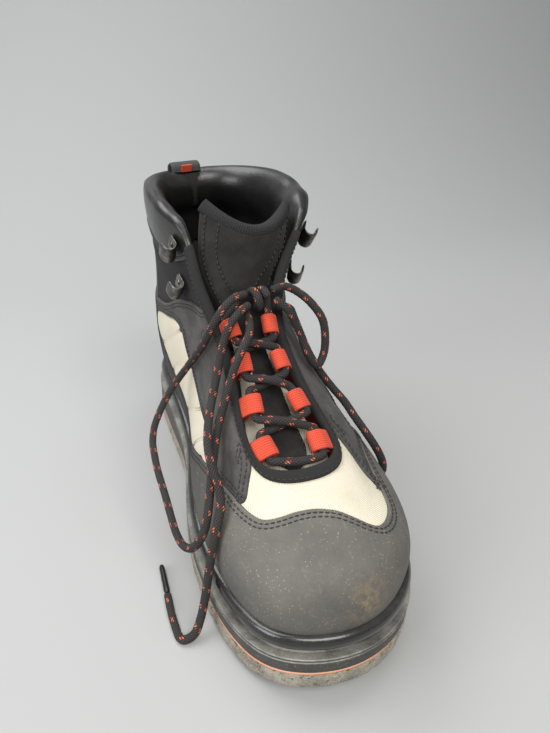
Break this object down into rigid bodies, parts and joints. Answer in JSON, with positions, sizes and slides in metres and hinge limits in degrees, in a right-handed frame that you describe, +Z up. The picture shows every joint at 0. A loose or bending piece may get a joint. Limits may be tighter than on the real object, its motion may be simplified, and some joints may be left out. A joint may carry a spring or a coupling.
{
  "type": "wading boot",
  "caption": "Laced left wading boot standing empty: felt outsole, rubber rand and toe cap, woven side panels, padded collar, tongue, webbing lace loops and speed hooks.",
  "frame": {"origin": "on the floor below the middle of the boot's length and width, measured without the free lace", "axes": "+Z up, the toe points to -Y and the heel to +Y, the outer (lateral) side to +X"},
  "size_m": [0.1606, 0.305, 0.2137],
  "materials": {
    "felt": "fuzzy needled felt",
    "tan_rubber": "matte",
    "black_rubber": "matte with fine dust",
    "glossy_rubber": "glossy",
    "insole_foam": "matte cloth-topped foam",
    "nubuck": "matte coated leather, woven panels and a glossy padded collar",
    "tongue_suede": "suede-like",
    "ribbed_knit": "ribbed",
    "black_textile": "woven",
    "orange_webbing": "ribbed webbing",
    "gunmetal": "dark satin",
    "dark_webbing": "woven",
    "orange_tab": "woven",
    "braided_lace": "round braid with orange flecks",
    "lace_cord": "round braid with orange flecks",
    "lace_tip": "smooth"
  },
  "bodies": {
    "root": {"felt_outsole": "felt", "tan_strip": "tan_rubber", "midsole": "black_rubber", "foxing_lip": "glossy_rubber", "insole": "insole_foam", "upper": "nubuck", "tongue": "tongue_suede", "tongue_binding": "ribbed_knit", "throat_binding": "black_textile", "webbing_loop_medial_1": "orange_webbing", "webbing_loop_medial_2": "orange_webbing", "webbing_loop_medial_3": "orange_webbing", "webbing_loop_medial_4": "orange_webbing", "webbing_loop_lateral_1": "orange_webbing", "webbing_loop_lateral_2": "orange_webbing", "webbing_loop_lateral_3": "orange_webbing", "webbing_loop_lateral_4": "orange_webbing", "lace_hook_medial_1": "gunmetal", "lace_hook_medial_2": "gunmetal", "lace_hook_lateral_1": "gunmetal", "lace_hook_lateral_2": "gunmetal", "pull_loop": "dark_webbing", "pull_loop_tab": "orange_tab", "lace_crossings": "braided_lace", "lace_knot": "lace_cord", "lace_bow_medial": "lace_cord", "lace_bow_lateral": "lace_cord", "lace_end_medial": "lace_cord", "lace_end_lateral": "lace_cord", "lace_tip_medial": "lace_tip", "lace_tip_lateral": "lace_tip"}
  },
  "joints": []
}
